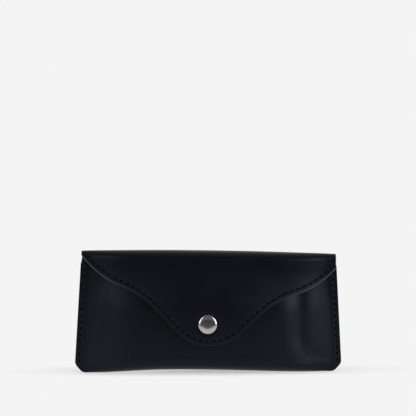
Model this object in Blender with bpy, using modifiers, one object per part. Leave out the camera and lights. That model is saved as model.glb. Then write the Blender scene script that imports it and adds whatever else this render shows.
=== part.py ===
"""Soft leather glasses case: a stitched pouch with an envelope flap closed by a press stud.

The case stands on its bottom fold with its front towards -Y. Sheets are worked out in the case's own
section, where y = 0 is the plane in which the front and back are sewn together.
"""

import math

import bmesh
import bpy
from mathutils import Vector

# Outline of the standing case, in metres
BOTTOM_WIDTH = 0.170       # widest, just above the cut bottom corners
FOOT_WIDTH = 0.160         # along the bottom fold, between the cut corners
MOUTH_WIDTH = 0.164        # across the front panel's top corners
FLAP_WIDTH = 0.163         # along the top fold
CORNER_CUT = 0.007         # height of the cut bottom corners
TOP_Z = 0.0774             # crown of the top fold in the middle
TOP_BOW = 0.0012           # how far the crown falls off towards its ends
TOP_SLANT = 0.0032         # how much higher the fold stands on the left than on the right
FOLD_RISE = 0.0050         # crown above the crease where the flap leaves the back panel
MOUTH_DROP = 0.0030        # top edge of the front panel below that crease
BOTTOM_ARCH = 0.0015       # rise of the bottom fold in the middle
ARCH_HALF = 0.058          # half the length that rises off the table

# Depth of the filled pouch, measured from the seam plane
FRONT_DEPTH = 0.013        # front panel at its fullest
FRONT_BELLY_Z = 0.040      # height up to which the front stays full
MOUTH_DEPTH = 0.0082       # front panel in the middle of the mouth
BACK_DEPTH = 0.008         # back panel at its fullest
BACK_BELLY_Z = 0.026       # height up to which the back stays full
BACK_FLAT_DROP = 0.0060    # flat strip of the back below the crease
SEAM_MARGIN = 0.005        # flat strip along each sewn side
FULLNESS_POWER = 3.5       # how squarely the pouch fills out between the seams
SOLE_SHIFT = 0.0045        # how far ahead of the middle the pouch rests
SOLE_FLAT = math.radians(34)   # half angle of the bottom fold that lies flat

# Sheets
LEATHER = 0.0013
LINING = 0.0006
CLEARANCE = 0.0003         # between pieces that touch

# Flap: tip arc, straight side, hollow waist arc and round shoulder arc
FLAP_TIP_Z = 0.0199
TIP_RADIUS = 0.0285
SIDE_SLOPE = math.radians(44)
WAIST_START = 0.0325       # distance from the middle where the waist arc begins
WAIST_RADIUS = 0.056
WAIST_SLOPE = math.radians(16.5)
SHOULDER_RADIUS = 0.051
FLAP_SKEW = 0.037          # drop of the edge per metre to the right, because the flap hangs askew
HINGE_SET = 0.0010         # hinge axis behind the back panel's face

# Press stud
SNAP_Z = 0.0337
CAP_DIAMETER = 0.0125
CAP_HEIGHT = 0.0017
CAP_EDGE = 0.0005          # upright edge of the cap
CAP_BARREL = 0.0032        # barrel clinched through the flap
CLINCH_DIAMETER = 0.0048   # rolled end of that barrel
CLINCH_HEIGHT = 0.0004
SOCKET_DIAMETER = 0.0110
SOCKET_HEIGHT = 0.0030
SOCKET_WALL = 0.0005
SOCKET_MOUTH = 0.0066
SPRING_WIRE = 0.0006
SPRING_SPLIT = math.radians(50)
STUD_DIAMETER = 0.0104
STUD_BASE = 0.0006
STUD_HEAD = 0.0042
STUD_NECK = 0.0037
STUD_HEIGHT = 0.0017       # head and neck above the base
STUD_HEAD_RISE = 0.0010    # widest part of the head above the base
STUD_BORE = 0.0029
POST_DIAMETER = 0.0100
POST_FLANGE = 0.0006
SNAP_FLAT = 0.0075         # radius of the flat pressed round the snap
SNAP_SPREAD = 0.038        # radius at which the flap lies back on the front

# Stitching
THREAD = 0.0007
STITCH_PITCH = 0.0042
STITCH_RISE = 0.00025      # how far a stitch stands up between its holes
SEAM_INSET = 0.0025        # side seam, in from the edge
FLAP_INSET = 0.0030        # flap stitching, in from the edge

# Steps of the curved sheets
BODY_COLUMNS = 28
FRONT_ROWS = 8
SOLE_ROWS = 3
BACK_ROWS = 7
FLAP_COLUMNS = 34
FLAP_FRONT_ROWS = 9
FOLD_ROWS = 7
FOLD_SHARE = 0.7           # most of a short flap strip that the fold's rows may take
CREASE_CLOSENESS = 1.6     # how the fold's rows draw together towards the crease
SEAM_CROWDING = 0.5        # how the body's columns draw together towards the seams
TURNED_STEPS = 24
DOME_STEPS = 6
SPRING_STEPS = 24
HOLE_SIDES = 16

# Looks: base colour, roughness, metallic
LEATHER_LOOK = ((0.010, 0.010, 0.013), 0.45, 0.0)
LINING_LOOK = ((0.016, 0.016, 0.018), 0.95, 0.0)
NICKEL_LOOK = ((0.56, 0.54, 0.53), 0.28, 1.0)
SPRING_LOOK = ((0.45, 0.44, 0.42), 0.35, 1.0)
THREAD_LOOK = ((0.012, 0.012, 0.014), 0.70, 0.0)

# Sizes that follow from those above
PLY = LEATHER + CLEARANCE + LINING
SEAM_HALF = PLY + CLEARANCE
SEAM_SHARE = 1.0 - 2.0 * SEAM_MARGIN / BOTTOM_WIDTH
FLAP_GAP = 2.0 * CLEARANCE + THREAD + STITCH_RISE    # room for the side seams' thread under the flap
SNAP_GAP = STUD_BASE + SOCKET_HEIGHT + 3.0 * CLEARANCE
FLAP_FACE = FRONT_DEPTH + SNAP_GAP + PLY
CAP_TOP = FLAP_FACE + CLEARANCE + CAP_HEIGHT
SEAM_Y = (CAP_TOP - BACK_DEPTH) / 2.0
HINGE_Y = SEAM_HALF + HINGE_SET
CREASE_Z = TOP_Z - FOLD_RISE
MOUTH_Z = CREASE_Z - MOUTH_DROP
BACK_FLAT_Z = CREASE_Z - BACK_FLAT_DROP
FOLD_START_Z = CREASE_Z + CLEARANCE
SLANT = TOP_SLANT / (FLAP_WIDTH * TOP_Z)    # share of its height that the case loses per metre to the right


def mix(start, end, share):
    return start + (end - start) * share


def smoothstep(share):
    share = min(max(share, 0.0), 1.0)
    return share * share * (3.0 - 2.0 * share)


def slanted(x, y, z):
    """A point of the level case, moved to where the slanted case has it."""
    return x, y, z * (1.0 - SLANT * x)


def half_width(z):
    """Half of the body's width at a height, with its bottom corners cut."""
    if z < CORNER_CUT:
        return mix(FOOT_WIDTH, BOTTOM_WIDTH, z / CORNER_CUT) / 2.0
    if z < MOUTH_Z:
        return mix(BOTTOM_WIDTH, MOUTH_WIDTH, (z - CORNER_CUT) / (MOUTH_Z - CORNER_CUT)) / 2.0
    return mix(MOUTH_WIDTH, FLAP_WIDTH, min((z - MOUTH_Z) / (CREASE_Z - MOUTH_Z), 1.0)) / 2.0


def fullness(across):
    """How far the pouch fills out at a share of its half width: 0 on the seams, 1 in the middle."""
    return 1.0 - min(abs(across) / SEAM_SHARE, 1.0) ** FULLNESS_POWER


def front_y(across, z):
    """Outer face of the front panel."""
    closing = smoothstep((z - FRONT_BELLY_Z) / (MOUTH_Z - FRONT_BELLY_Z))
    depth = mix(FRONT_DEPTH, MOUTH_DEPTH, closing)
    return -mix(SEAM_HALF, depth, fullness(across))


def back_y(across, z):
    """Outer face of the back panel, flat under the crease."""
    closing = smoothstep((z - BACK_BELLY_Z) / (BACK_FLAT_Z - BACK_BELLY_Z))
    return mix(SEAM_HALF, mix(BACK_DEPTH, SEAM_HALF, closing), fullness(across))


def body_column(across):
    """One strip of the body's outer face: down the back, under the sole and up the front."""
    front, back = front_y(across, 0.0), back_y(across, 0.0)
    radius = (back - front) / 2.0
    middle = (back + front) / 2.0
    off_arch = min(abs(across) * FOOT_WIDTH / 2.0 / ARCH_HALF, 1.0)
    floor = BOTTOM_ARCH * (1.0 - off_arch ** 2) ** 2
    turn_z = floor + radius
    shift = SOLE_SHIFT * math.sqrt(fullness(across))
    sole_edge = math.pi / 2.0 - SOLE_FLAT
    corner_share = (MOUTH_Z - CORNER_CUT) / (MOUTH_Z - SEAM_HALF)

    strip = []
    for row in range(BACK_ROWS):
        z = mix(CREASE_Z, turn_z, row / (BACK_ROWS - 1) * corner_share)
        strip.append((back_y(across, z), z))
    turns = [sole_edge * row / SOLE_ROWS for row in range(SOLE_ROWS + 1)]
    for angle in [math.pi - turn for turn in turns] + turns[::-1]:
        y = middle - radius * math.cos(angle) - shift * math.sin(angle)
        z = turn_z - radius * math.sin(angle) / math.sin(sole_edge)
        strip.append((y, z))
    for row in range(FRONT_ROWS):
        z = mix(turn_z, MOUTH_Z, mix(1.0 - corner_share, 1.0, row / (FRONT_ROWS - 1)))
        strip.append((front_y(across, z), z))
    return [slanted(across * half_width(z), y, z) for y, z in strip]


def body_columns():
    """Strips from the left seam to the right, closer together towards the seams."""
    shares = [2.0 * column / BODY_COLUMNS - 1.0 for column in range(BODY_COLUMNS + 1)]
    return [body_column(mix(share, math.sin(share * math.pi / 2.0), SEAM_CROWDING)) for share in shares]


def level_flap_edge(reach):
    """Height and slope of the flap's S-shaped edge at a distance from the middle, with the flap straight."""
    tip_end = TIP_RADIUS * math.sin(SIDE_SLOPE)
    side_z = FLAP_TIP_Z + TIP_RADIUS * (1.0 - math.cos(SIDE_SLOPE))
    waist_z = side_z + (WAIST_START - tip_end) * math.tan(SIDE_SLOPE)
    waist_end = WAIST_START + WAIST_RADIUS * (math.sin(SIDE_SLOPE) - math.sin(WAIST_SLOPE))
    shoulder_z = waist_z + WAIST_RADIUS * (math.cos(WAIST_SLOPE) - math.cos(SIDE_SLOPE))
    if reach < tip_end:
        slope = math.asin(reach / TIP_RADIUS)
        return FLAP_TIP_Z + TIP_RADIUS * (1.0 - math.cos(slope)), slope
    if reach < WAIST_START:
        return side_z + (reach - tip_end) * math.tan(SIDE_SLOPE), SIDE_SLOPE
    if reach < waist_end:
        slope = math.asin(math.sin(SIDE_SLOPE) - (reach - WAIST_START) / WAIST_RADIUS)
        return waist_z + WAIST_RADIUS * (math.cos(slope) - math.cos(SIDE_SLOPE)), slope
    rise = math.sin(WAIST_SLOPE) + (reach - waist_end) / SHOULDER_RADIUS
    slope = math.asin(min(rise, 0.99))
    return shoulder_z + SHOULDER_RADIUS * (math.cos(WAIST_SLOPE) - math.cos(slope)), slope


def flap_edge(side, reach):
    """Height of the flap's edge on the left (side -1) or the right (side 1), and its slope outwards."""
    z, slope = level_flap_edge(reach)
    return z - side * reach * FLAP_SKEW, math.atan(math.tan(slope) - side * FLAP_SKEW)


def flap_front_y(x, z):
    """Outer face of the flap, which stands off the front panel round the snap."""
    across = min(abs(x) / half_width(z), 1.0)
    off_snap = (math.hypot(x, z - SNAP_Z) - SNAP_FLAT) / (SNAP_SPREAD - SNAP_FLAT)
    return front_y(across, z) - PLY - mix(SNAP_GAP, FLAP_GAP, smoothstep(off_snap))


def fold_size(x):
    """Middle, half depth and rise of the top fold, half an ellipse over the mouth."""
    front = flap_front_y(x, FOLD_START_Z)
    rise = TOP_Z - FOLD_START_Z - TOP_BOW * (2.0 * x / FLAP_WIDTH) ** 2
    return (SEAM_HALF + front) / 2.0, (SEAM_HALF - front) / 2.0, rise


def fold_girth(x):
    """Length of the top fold from the crease to the front."""
    half_depth, rise = fold_size(x)[1:]
    return math.pi * math.sqrt((half_depth ** 2 + rise ** 2) / 2.0)


def flap_point(x, girth):
    """A point of the flap's outer face, at a distance from the crease round the top fold."""
    past_fold = girth - fold_girth(x)
    if past_fold < 0.0:
        middle, half_depth, rise = fold_size(x)
        angle = math.pi * girth / fold_girth(x)
        return slanted(x, middle + half_depth * math.cos(angle), FOLD_START_Z + rise * math.sin(angle))
    z = FOLD_START_Z - past_fold
    return slanted(x, flap_front_y(x, z), z)


def flap_girth(x, z):
    """Distance from the crease to a height on the unrolled flap, at the nearest on the crown."""
    return max(fold_girth(x) + FOLD_START_Z - z, fold_girth(x) / 2.0)


def flap_column(x):
    """One strip of the flap's outer face: from its edge up the front and over to the crease."""
    edge = flap_girth(x, flap_edge(math.copysign(1.0, x), abs(x))[0])
    turn = min(fold_girth(x), edge * FOLD_SHARE)
    girths = [mix(edge, turn, row / FLAP_FRONT_ROWS) for row in range(FLAP_FRONT_ROWS)]
    girths += [turn * (1.0 - row / FOLD_ROWS) ** CREASE_CLOSENESS for row in range(FOLD_ROWS + 1)]
    return [flap_point(x, girth) for girth in girths]


def flap_columns():
    places = [column / FLAP_COLUMNS - 0.5 for column in range(FLAP_COLUMNS + 1)]
    return [flap_column(FLAP_WIDTH * place) for place in places]


def collection(name):
    group = bpy.data.collections.new(name)
    bpy.context.scene.collection.children.link(group)
    return group


def add_object(name, data, look):
    """A new object with a material of its own."""
    colour, roughness, metallic = look
    material = bpy.data.materials.new(name)
    material.use_nodes = True
    shader = material.node_tree.nodes["Principled BSDF"]
    shader.inputs["Base Color"].default_value = (*colour, 1.0)
    shader.inputs["Roughness"].default_value = roughness
    shader.inputs["Metallic"].default_value = metallic
    data.materials.append(material)
    piece = bpy.data.objects.new(name, data)
    case.objects.link(piece)
    return piece


def place(piece, location, on_flap):
    """Set a piece at a place in the case's section, on the body or carried by the flap's hinge."""
    x, y, z = location
    piece.location = (x, y + SEAM_Y, z)
    if on_flap:
        piece.parent = flap_hinge
        piece.matrix_parent_inverse = flap_hinge.matrix_basis.inverted()


def add_sheet(name, columns, depth, thickness, hole, look, on_flap):
    """A curved sheet with a hole for the snap, set in by a depth from the outer face."""
    across, along = len(columns) - 1, len(columns[0]) - 1
    bm = bmesh.new()
    bmesh.ops.create_grid(bm, x_segments=across, y_segments=along, size=0.5)
    for vertex in bm.verts:
        column = columns[round((vertex.co.x + 0.5) * across)]
        vertex.co = column[round((vertex.co.y + 0.5) * along)]
    mesh = bpy.data.meshes.new(name)
    bm.to_mesh(mesh)
    bm.free()
    mesh.shade_smooth()

    sheet = add_object(name, mesh, look)
    place(sheet, (0.0, 0.0, 0.0), on_flap)
    shell = sheet.modifiers.new("thickness", "SOLIDIFY")
    shell.thickness = thickness
    shell.offset = -1.0 - 2.0 * depth / thickness
    shell.use_even_offset = True
    cut = sheet.modifiers.new("snap_hole", "BOOLEAN")
    cut.operation = "DIFFERENCE"
    cut.object = hole
    return sheet


def add_hole(name, radius, depth):
    """A round cutter through the front of the case at the snap."""
    middle = SEAM_Y - depth
    bpy.ops.mesh.primitive_cylinder_add(vertices=HOLE_SIDES, radius=radius, depth=3.0 * PLY,
                                        location=(0.0, middle, SNAP_Z),
                                        rotation=(math.pi / 2.0, 0.0, 0.0))
    cutter = bpy.context.object
    cutter.name = name
    for group in cutter.users_collection:
        group.objects.unlink(cutter)
    cutters.objects.link(cutter)
    cutter.hide_render = True
    cutter.display_type = "WIRE"
    return cutter


def add_turned(name, profile, closed, depth, look, on_flap):
    """A turned metal piece on the snap's axis, its profile (radius, height) standing out from a depth."""
    mesh = bpy.data.meshes.new(name)
    count = len(profile)
    edges = [(index, index + 1) for index in range(count - 1)]
    if closed:
        edges.append((count - 1, 0))
    mesh.from_pydata([(radius, 0.0, height) for radius, height in profile], edges, [])
    piece = add_object(name, mesh, look)
    screw = piece.modifiers.new("turn", "SCREW")
    screw.steps = TURNED_STEPS
    screw.render_steps = TURNED_STEPS
    screw.use_merge_vertices = True
    screw.merge_threshold = 0.00001
    screw.use_smooth_shade = True
    piece.rotation_euler = (math.pi / 2.0, 0.0, 0.0)
    place(piece, (0.0, -depth, SNAP_Z), on_flap)
    return piece


def add_wire(name, points, diameter, sides_level, look):
    """A round wire or thread along a row of points."""
    curve = bpy.data.curves.new(name, "CURVE")
    curve.dimensions = "3D"
    curve.bevel_depth = diameter / 2.0
    curve.bevel_resolution = sides_level
    curve.use_fill_caps = True
    spline = curve.splines.new("POLY")
    spline.points.add(len(points) - 1)
    for point, place_on_wire in zip(spline.points, points):
        point.co = (*place_on_wire, 1.0)
    return add_object(name, curve, look)


def stitch_lift(step):
    """Height of a thread's middle over the sheet: low at the holes, high between them."""
    return CLEARANCE + THREAD / 2.0 + (STITCH_RISE if step % 2 else 0.0)


def seam_points(side, face):
    """Thread of a side seam on the front (face -1) or the back (face 1), from the foot to the mouth."""
    low, high = CORNER_CUT, MOUTH_Z - SEAM_INSET
    stitches = round((high - low) / STITCH_PITCH)
    points = []
    for step in range(2 * stitches + 1):
        z = mix(low, high, step / (2 * stitches))
        x = side * (half_width(z) - SEAM_INSET)
        points.append(slanted(x, face * (SEAM_HALF + stitch_lift(step)), z))
    return points


def lifted_flap_point(x, z, lift):
    """A point over the flap's outer face, along the face's own normal."""
    step = THREAD
    girth = flap_girth(x, z)
    along = Vector(flap_point(x + step, girth)) - Vector(flap_point(x - step, girth))
    up = Vector(flap_point(x, girth - step)) - Vector(flap_point(x, girth + step))
    return Vector(flap_point(x, girth)) + lift * along.cross(up).normalized()


def flap_stitch_half(side):
    """Thread along half of the flap's edge, in half stitches from the tip to the side and up to the crown."""
    places = []
    limit = FLAP_WIDTH / 2.0 - FLAP_INSET
    crown = FOLD_START_Z + fold_girth(limit) / 2.0
    reach = 0.0
    inset = 0.0
    while inset < limit:
        z, slope = flap_edge(side, reach)
        inset = min(reach - FLAP_INSET * math.sin(slope), limit)
        places.append((inset, z + FLAP_INSET * math.cos(slope)))
        reach += STITCH_PITCH / 2.0 * math.cos(slope)
    rises = int((crown - places[-1][1]) / (STITCH_PITCH / 2.0))
    for rise in range(rises):
        places.append((limit, places[-1][1] + STITCH_PITCH / 2.0))
    return [lifted_flap_point(side * x, z, stitch_lift(step)) for step, (x, z) in enumerate(places)]


for old in list(bpy.data.objects):
    bpy.data.objects.remove(old, do_unlink=True)

case = collection("glasses_case")
cutters = collection("cutters")

flap_hinge = bpy.data.objects.new("flap_hinge", None)
flap_hinge.location = (0.0, SEAM_Y + HINGE_Y, CREASE_Z)
flap_hinge.rotation_euler = (0.0, math.atan(SLANT * CREASE_Z), 0.0)
case.objects.link(flap_hinge)

# Leather and lining, each with its hole for the snap
body_hole = add_hole("body_snap_hole", STUD_BORE / 2.0, FRONT_DEPTH)
flap_hole = add_hole("flap_snap_hole", CAP_BARREL / 2.0 + CLEARANCE, FLAP_FACE)
body = body_columns()
flap = flap_columns()
add_sheet("body_leather", body, 0.0, LEATHER, body_hole, LEATHER_LOOK, False)
add_sheet("body_lining", body, LEATHER + CLEARANCE, LINING, body_hole, LINING_LOOK, False)
add_sheet("flap_leather", flap, 0.0, LEATHER, flap_hole, LEATHER_LOOK, True)
add_sheet("flap_lining", flap, LEATHER + CLEARANCE, LINING, flap_hole, LINING_LOOK, True)

# Cap: a low dome with an upright edge, and a barrel clinched through the flap and the socket's plate
cap_radius = CAP_DIAMETER / 2.0
cap_foot = CLEARANCE
cap_shoulder = cap_foot + CAP_EDGE
socket_plate = -PLY - CLEARANCE
clinch_top = socket_plate - SOCKET_WALL - CLEARANCE
clinch_end = clinch_top - CLINCH_HEIGHT
dome = []
for step in range(DOME_STEPS + 1):
    angle = math.pi / 2.0 * step / DOME_STEPS
    dome.append((cap_radius * math.sin(angle), cap_shoulder + (CAP_HEIGHT - CAP_EDGE) * math.cos(angle)))
cap_profile = dome + [(cap_radius, cap_foot), (CAP_BARREL / 2.0, cap_foot), (CAP_BARREL / 2.0, clinch_top),
                      (CLINCH_DIAMETER / 2.0, clinch_top), (CLINCH_DIAMETER / 2.0, clinch_end),
                      (0.0, clinch_end)]
add_turned("snap_cap", cap_profile, False, FLAP_FACE, NICKEL_LOOK, True)

# Socket: a cup with a hole in its plate and a lip turned in round its mouth
socket_end = socket_plate - SOCKET_HEIGHT
socket_radius = SOCKET_DIAMETER / 2.0
plate_hole = CAP_BARREL / 2.0 + CLEARANCE
chamber = socket_radius - 2.0 * SOCKET_WALL
socket_profile = [(plate_hole, socket_plate), (socket_radius - SOCKET_WALL, socket_plate),
                  (socket_radius, socket_plate - SOCKET_WALL), (socket_radius, socket_end + SOCKET_WALL),
                  (socket_radius - SOCKET_WALL, socket_end), (SOCKET_MOUTH / 2.0, socket_end),
                  (SOCKET_MOUTH / 2.0, socket_end + SOCKET_WALL), (chamber, socket_end + SOCKET_WALL),
                  (chamber, socket_plate - SOCKET_WALL), (plate_hole, socket_plate - SOCKET_WALL)]
add_turned("snap_socket", socket_profile, True, FLAP_FACE, NICKEL_LOOK, True)

# Spring: a split ring of wire lying behind the socket's lip
spring_radius = chamber - CLEARANCE - SPRING_WIRE / 2.0
spring_depth = FLAP_FACE + socket_end + SOCKET_WALL + CLEARANCE + SPRING_WIRE / 2.0
spring_points = []
for step in range(SPRING_STEPS + 1):
    turn = mix(SPRING_SPLIT / 2.0, 2.0 * math.pi - SPRING_SPLIT / 2.0, step / SPRING_STEPS)
    angle = math.pi / 2.0 + turn
    spring_points.append((spring_radius * math.cos(angle), 0.0, spring_radius * math.sin(angle)))
spring = add_wire("snap_spring", spring_points, SPRING_WIRE, 1, SPRING_LOOK)
place(spring, (0.0, -spring_depth, SNAP_Z), True)

# Stud: a base disc with a necked head, hollow for the post
stud_foot = CLEARANCE
stud_base = stud_foot + STUD_BASE
stud_top = stud_base + STUD_HEIGHT
head_z = stud_base + STUD_HEAD_RISE
stud_radius = STUD_DIAMETER / 2.0
bore = STUD_BORE / 2.0
bore_end = stud_top - STUD_BASE
stud_profile = [(0.0, stud_top), (STUD_NECK / 2.0, stud_top), (STUD_HEAD / 2.0, head_z),
                (STUD_NECK / 2.0, (stud_base + head_z) / 2.0), (STUD_NECK / 2.0, stud_base),
                (stud_radius - STUD_BASE / 2.0, stud_base), (stud_radius, stud_foot), (bore, stud_foot),
                (bore, bore_end), (0.0, bore_end)]
add_turned("snap_stud", stud_profile, False, FRONT_DEPTH, NICKEL_LOOK, False)

# Post: a flange inside the pouch with a barrel up into the stud
post_radius = bore - CLEARANCE
flange_top = -PLY - CLEARANCE
flange_end = flange_top - POST_FLANGE
post_profile = [(0.0, bore_end - CLEARANCE), (post_radius, bore_end - CLEARANCE), (post_radius, flange_top),
                (POST_DIAMETER / 2.0, flange_top), (POST_DIAMETER / 2.0 - POST_FLANGE / 2.0, flange_end),
                (0.0, flange_end)]
add_turned("snap_post", post_profile, False, FRONT_DEPTH, NICKEL_LOOK, False)

# Stitching: needle thread on the front, bobbin thread on the back
for side_name, side in (("left", -1), ("right", 1)):
    needle = add_wire(side_name + "_seam_thread", seam_points(side, -1), THREAD, 0, THREAD_LOOK)
    place(needle, (0.0, 0.0, 0.0), False)
    bobbin = add_wire(side_name + "_seam_back_thread", seam_points(side, 1), THREAD, 0, THREAD_LOOK)
    place(bobbin, (0.0, 0.0, 0.0), False)
flap_stitches = flap_stitch_half(-1)[:0:-1] + flap_stitch_half(1)
flap_thread = add_wire("flap_thread", flap_stitches, THREAD, 0, THREAD_LOOK)
place(flap_thread, (0.0, 0.0, 0.0), True)
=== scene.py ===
"""Looks of the soft leather glasses case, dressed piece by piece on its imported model."""

import math

import bmesh
import bpy
from mathutils import Matrix, Vector
from mathutils.kdtree import KDTree


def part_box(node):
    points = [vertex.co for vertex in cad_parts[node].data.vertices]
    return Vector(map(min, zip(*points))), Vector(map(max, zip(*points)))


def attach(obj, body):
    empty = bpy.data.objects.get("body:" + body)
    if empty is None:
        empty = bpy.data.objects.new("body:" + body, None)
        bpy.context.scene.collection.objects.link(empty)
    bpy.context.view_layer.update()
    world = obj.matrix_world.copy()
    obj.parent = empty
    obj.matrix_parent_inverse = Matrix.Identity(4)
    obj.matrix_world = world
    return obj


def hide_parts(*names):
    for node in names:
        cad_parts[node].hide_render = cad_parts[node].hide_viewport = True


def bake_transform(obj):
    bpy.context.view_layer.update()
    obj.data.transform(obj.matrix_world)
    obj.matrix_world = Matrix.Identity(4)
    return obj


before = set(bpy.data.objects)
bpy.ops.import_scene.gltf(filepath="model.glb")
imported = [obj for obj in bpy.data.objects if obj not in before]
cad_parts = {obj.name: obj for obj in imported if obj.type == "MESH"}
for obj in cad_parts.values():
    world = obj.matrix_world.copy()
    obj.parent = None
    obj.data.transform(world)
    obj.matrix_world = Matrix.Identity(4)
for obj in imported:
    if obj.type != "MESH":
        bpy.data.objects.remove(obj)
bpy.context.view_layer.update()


# Body leather. One piece of smooth black hide makes the front panel, the bottom fold and the back panel.
# Its bottom corners are cut off, its sides are sewn together flat, and its cut edges are burnished.
# The filled pouch swells between the seams, and its bottom is slightly raised in the middle.
BOTTOM_WIDTH = 0.1702
FOOT_WIDTH = 0.1600
MOUTH_WIDTH = 0.1626
FLAP_WIDTH = 0.1614
CORNER_CUT = 0.0058
CORNER_ROUND = 0.0016
FOOT_ROUND = 0.8           # share of that rounding at the foot of a cut corner
TOP_Z = 0.0788
TOP_SLANT = 0.0032         # how much higher the fold stands on the left than on the right
CREASE_Z = TOP_Z - 0.0064
MOUTH_Z = CREASE_Z - 0.0030
BACK_FLAT_Z = CREASE_Z - 0.0060
BACK_END_Z = CREASE_Z - 0.0024     # where the back panel hands over to the flap's hide
BOTTOM_ARCH = 0.0025
ARCH_MIDDLE = -0.022
ARCH_LEFT = 0.058
ARCH_RIGHT = 0.104
FRONT_DEPTH = 0.013
FRONT_BELLY_Z = 0.040
MOUTH_DEPTH = 0.0082
BACK_DEPTH = 0.008
BACK_BELLY_Z = 0.026
SWELL_SQUARENESS = 4.5     # how squarely the pouch fills out between the seams
SWELL_EASE = 1.5           # how softly it eases into them
SEAM_HALF = 0.0025
SEAM_MARGIN = 0.005
FINE_MARGIN = SEAM_MARGIN + 0.001
SOLE_SHIFT = 0.0015
SOLE_SQUARENESS = 0.86
LEATHER = 0.0015
SLANT = TOP_SLANT / (FLAP_WIDTH * TOP_Z)
LEAN = 0.0115              # the case leans to the right by this share of its height
SEAM_SHARE = 1.0 - 2.0 * SEAM_MARGIN / BOTTOM_WIDTH
SEAM_Y = (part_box("left_seam_thread")[0].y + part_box("left_seam_back_thread")[1].y) / 2.0

STITCH_PITCH = 0.0042
STITCH_GAP = 0.22          # share of the pitch from the middle of a bridge of leather to the next hole
STITCH_END = 0.3           # share of a stitch by which the marks run past the first and last bridge
BRIDGE_PULL = 0.4          # share of the groove's depth on a bridge
SEAM_INSET = 0.0025
SEAM_LOW = CORNER_CUT
SEAM_HIGH = MOUTH_Z - SEAM_INSET
SEAM_STITCHES = round((SEAM_HIGH - SEAM_LOW) / STITCH_PITCH)
GROOVE_DEPTH = 0.00007
GROOVE_HALF = 0.0007
HOLE_DEPTH = 0.00055
HOLE_HALF = 0.00046

# Soft folds of the front panel: from (x, z), to (x, z), half width and height
SOFT_FOLDS = (
    ((0.0565, 0.056), (0.0585, 0.020), 0.0056, -0.0013),
    ((0.064, 0.0125), (0.086, 0.0060), 0.0045, -0.0004),
    ((-0.067, 0.056), (-0.074, 0.012), 0.0055, -0.0010),
)
FOLD_RUN_OUT = 0.35        # how far a soft fold runs past its ends, as a share of its length
FOLD_FADE = 0.5            # length over which it fades there
FOLD_HOLD = 0.3            # how closely it keeps its height up to the seams


def mix(start, end, share):
    """Value at a share of the way from a start to an end."""
    return start + (end - start) * share


def smoothstep(share):
    """A share eased at both ends, and held between 0 and 1."""
    share = min(max(share, 0.0), 1.0)
    return share * share * (3.0 - 2.0 * share)


def set_place(x, y, z):
    """A point of the level case in its section, moved to where the slanted case has it."""
    return Vector((x + LEAN * z, y + SEAM_Y, z * (1.0 - SLANT * x)))


def half_width(z):
    """Half of the body's width at a height, with its bottom corners cut."""
    if z < MOUTH_Z:
        cut = mix(FOOT_WIDTH, BOTTOM_WIDTH, z / CORNER_CUT) / 2.0
        side = mix(BOTTOM_WIDTH, MOUTH_WIDTH, (z - CORNER_CUT) / (MOUTH_Z - CORNER_CUT)) / 2.0
        near = max(CORNER_ROUND - abs(cut - side), 0.0) / CORNER_ROUND
        foot = max(1.0 - z / CORNER_ROUND, 0.0)
        return min(cut, side) - CORNER_ROUND * (near * near / 4.0 + foot * foot * FOOT_ROUND)
    return mix(MOUTH_WIDTH, FLAP_WIDTH, min((z - MOUTH_Z) / (CREASE_Z - MOUTH_Z), 1.0)) / 2.0


def fullness(across):
    """How far the pouch fills out at a share of its half width, easing into the flat seams."""
    return (1.0 - min(abs(across) / SEAM_SHARE, 1.0) ** SWELL_SQUARENESS) ** SWELL_EASE


def front_y(across, z):
    """Outer face of the front panel."""
    closing = smoothstep((z - FRONT_BELLY_Z) / (MOUTH_Z - FRONT_BELLY_Z))
    return -mix(SEAM_HALF, mix(FRONT_DEPTH, MOUTH_DEPTH, closing), fullness(across))


def back_y(across, z):
    """Outer face of the back panel, flat under the crease."""
    closing = smoothstep((z - BACK_BELLY_Z) / (BACK_FLAT_Z - BACK_BELLY_Z))
    return mix(SEAM_HALF, mix(BACK_DEPTH, SEAM_HALF, closing), fullness(across))


def slack(x, z):
    """Rise of the soft folds at a place on the front panel."""
    rise = 0.0
    for start, end, half, height in SOFT_FOLDS:
        run = Vector(end) - Vector(start)
        along = (Vector((x, z)) - Vector(start)).dot(run) / run.length_squared
        off = (Vector((x, z)) - Vector(start) - run * along).length
        ends = (smoothstep((along + FOLD_RUN_OUT) / FOLD_FADE)
                * smoothstep((1.0 + FOLD_RUN_OUT - along) / FOLD_FADE))
        rise += height * ends * math.exp(-(off / half) ** 2)
    return rise


def stitch_dip(along, off):
    """Depth pressed into the leather at a place along a row of stitches, in stitches, and off its line."""
    from_bridge = abs(along - round(along))
    to_hole = (from_bridge - STITCH_GAP) * STITCH_PITCH
    pull = mix(BRIDGE_PULL, 1.0, smoothstep(from_bridge / STITCH_GAP))
    groove = GROOVE_DEPTH * pull * math.exp(-(off / GROOVE_HALF) ** 2)
    return groove + HOLE_DEPTH * math.exp(-(off * off + to_hole * to_hole) / HOLE_HALF ** 2)


def seam_dip(across, z):
    """Depth of the side seam's stitching at a place on either panel."""
    along = (z - SEAM_LOW) / (SEAM_HIGH - SEAM_LOW) * SEAM_STITCHES
    if not -STITCH_END < along < SEAM_STITCHES + STITCH_END:
        return 0.0
    return stitch_dip(along, (1.0 - abs(across)) * half_width(z) - SEAM_INSET)


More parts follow.
